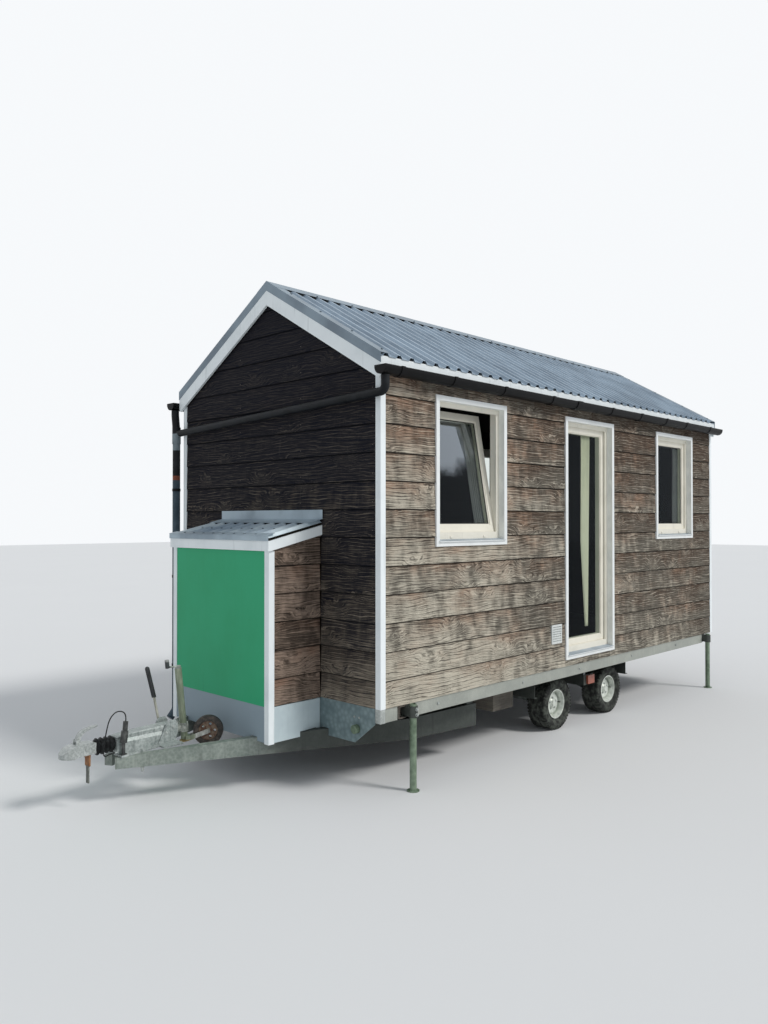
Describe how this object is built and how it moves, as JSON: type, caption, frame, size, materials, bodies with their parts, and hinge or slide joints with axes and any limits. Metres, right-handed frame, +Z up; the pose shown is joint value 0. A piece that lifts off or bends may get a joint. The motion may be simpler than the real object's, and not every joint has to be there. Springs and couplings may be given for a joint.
{
  "type": "tiny house on a trailer",
  "caption": "Timber-clad tiny house on a two-axle trailer with a ribbed metal roof, glazed door, windows, gutters, drawbar locker, jockey wheel and corner steadies.",
  "frame": {"origin": "at ground level, under the middle of the overall length and width", "axes": "+X along the house from the coupling to the rear gable, the door side faces -Y, +Z up"},
  "size_m": [7.291, 2.7734, 3.8359],
  "materials": {
    "amber_lens": "gloss",
    "black_plastic": "matte",
    "black_rubber": "matte",
    "blue_grey_steel": "satin",
    "cream_frames": "painted satin",
    "curtain": "woven",
    "dark_steel": "satin",
    "galvanised_steel": "weathered galvanised",
    "green_panel": "satin",
    "gutter_metal": "satin",
    "pane": "clear",
    "rim_steel": "silver",
    "roof_steel": "satin",
    "timber": "weathered rough sawn",
    "tyre": "matte",
    "white_boards": "satin",
    "zinc_steel": "zinc plated"
  },
  "bodies": {
    "house": {"side_rails": "galvanised_steel", "cross_members": "galvanised_steel", "skirt_plates": "blue_grey_steel", "drawbar": "galvanised_steel", "axles": "galvanised_steel", "overrun_housing": "zinc_steel", "drawbar_fittings": "black_plastic", "plug_cable": "black_rubber", "head_prop": "dark_steel", "underfloor_box": "timber", "coupling_bellows": "black_rubber", "coupling_head": "zinc_steel", "side_markers": "amber_lens", "floor_deck": "timber", "gable_walls": "timber", "door_side_wall_front": "timber", "door_side_wall_rear": "timber", "doorway_walls": "timber", "back_wall": "timber", "roof_decks": "timber", "roof_sheets": "roof_steel", "roof_flashings": "roof_steel", "roof_edge_boards": "white_boards", "corner_boards": "white_boards", "gutter_door_side": "gutter_metal", "gutter_back_side": "gutter_metal", "rainwater_pipes": "gutter_metal", "vent_grille": "black_plastic", "window_casings": "white_boards", "window_frames": "cream_frames", "window_sashes": "cream_frames", "window_glass": "pane", "window_curtains": "curtain", "door_casing": "white_boards", "door_frame": "cream_frames", "locker_walls": "timber", "locker_panel": "green_panel"},
    "door": {"door_leaf": "cream_frames", "door_glass": "pane", "door_curtain": "curtain"},
    "coupling_handle": {"coupling_lever": "zinc_steel"},
    "handbrake": {"handbrake_lever": "dark_steel"},
    "jockey_leg": {"jockey_tube": "zinc_steel"},
    "jockey_roller": {"jockey_wheel": "black_rubber"},
    "jockey_handle": {"jockey_crank": "zinc_steel"},
    "door_side_front_wheel": {"door_side_front_tyre": "tyre", "door_side_front_rim": "rim_steel"},
    "door_side_rear_wheel": {"door_side_rear_tyre": "tyre", "door_side_rear_rim": "rim_steel"},
    "door_side_front_leg": {"door_side_front_steady": "galvanised_steel"},
    "door_side_rear_leg": {"door_side_rear_steady": "galvanised_steel"},
    "back_side_front_wheel": {"back_side_front_tyre": "tyre", "back_side_front_rim": "rim_steel"},
    "back_side_rear_wheel": {"back_side_rear_tyre": "tyre", "back_side_rear_rim": "rim_steel"},
    "back_side_front_leg": {"back_side_front_steady": "galvanised_steel"},
    "back_side_rear_leg": {"back_side_rear_steady": "galvanised_steel"}
  },
  "joints": [
    {"name": "door_hinge", "type": "hinge", "parent": "house", "child": "door", "pos_m": [1.2275, -1.1167, 1.065], "axis": [0, 0, 1], "range_deg": [-95, 0]},
    {"name": "coupling_hinge", "type": "hinge", "parent": "house", "child": "coupling_handle", "pos_m": [-3.5275, 0, 0.47], "axis": [0, -1, 0], "range_deg": [0, 40]},
    {"name": "handbrake_hinge", "type": "hinge", "parent": "house", "child": "handbrake", "pos_m": [-2.8605, 0.092, 0.425], "axis": [0, -1, 0], "range_deg": [0, 65]},
    {"name": "jockey_slide", "type": "slide", "parent": "house", "child": "jockey_leg", "axis": [-0.1063, 0, 0.9943], "range_m": [-0.27, 0.025]},
    {"name": "jockey_roll", "type": "hinge", "parent": "jockey_leg", "child": "jockey_roller", "pos_m": [-2.58227, -0.10927, 0.393], "axis": [0.6428, 0.766, 0], "continuous": true},
    {"name": "jockey_crank_turn", "type": "hinge", "parent": "jockey_leg", "child": "jockey_handle", "pos_m": [-2.7685, 0, 0.853], "axis": [-0.1063, 0, 0.9943], "continuous": true},
    {"name": "door_side_front_wheel_spin", "type": "hinge", "parent": "house", "child": "door_side_front_wheel", "pos_m": [0.541, -1.0025, 0.235], "axis": [0, 1, 0], "continuous": true},
    {"name": "door_side_rear_wheel_spin", "type": "hinge", "parent": "house", "child": "door_side_rear_wheel", "pos_m": [1.484, -1.0025, 0.235], "axis": [0, 1, 0], "continuous": true},
    {"name": "door_side_front_leg_slide", "type": "slide", "parent": "house", "child": "door_side_front_leg", "axis": [0, 0, 1], "range_m": [0, 0.3]},
    {"name": "door_side_rear_leg_slide", "type": "slide", "parent": "house", "child": "door_side_rear_leg", "axis": [0, 0, 1], "range_m": [0, 0.3]},
    {"name": "back_side_front_wheel_spin", "type": "hinge", "parent": "house", "child": "back_side_front_wheel", "pos_m": [0.541, 1.0025, 0.235], "axis": [0, 1, 0], "continuous": true},
    {"name": "back_side_rear_wheel_spin", "type": "hinge", "parent": "house", "child": "back_side_rear_wheel", "pos_m": [1.484, 1.0025, 0.235], "axis": [0, 1, 0], "continuous": true},
    {"name": "back_side_front_leg_slide", "type": "slide", "parent": "house", "child": "back_side_front_leg", "axis": [0, 0, 1], "range_m": [0, 0.3]},
    {"name": "back_side_rear_leg_slide", "type": "slide", "parent": "house", "child": "back_side_rear_leg", "axis": [0, 0, 1], "range_m": [0, 0.3]}
  ]
}
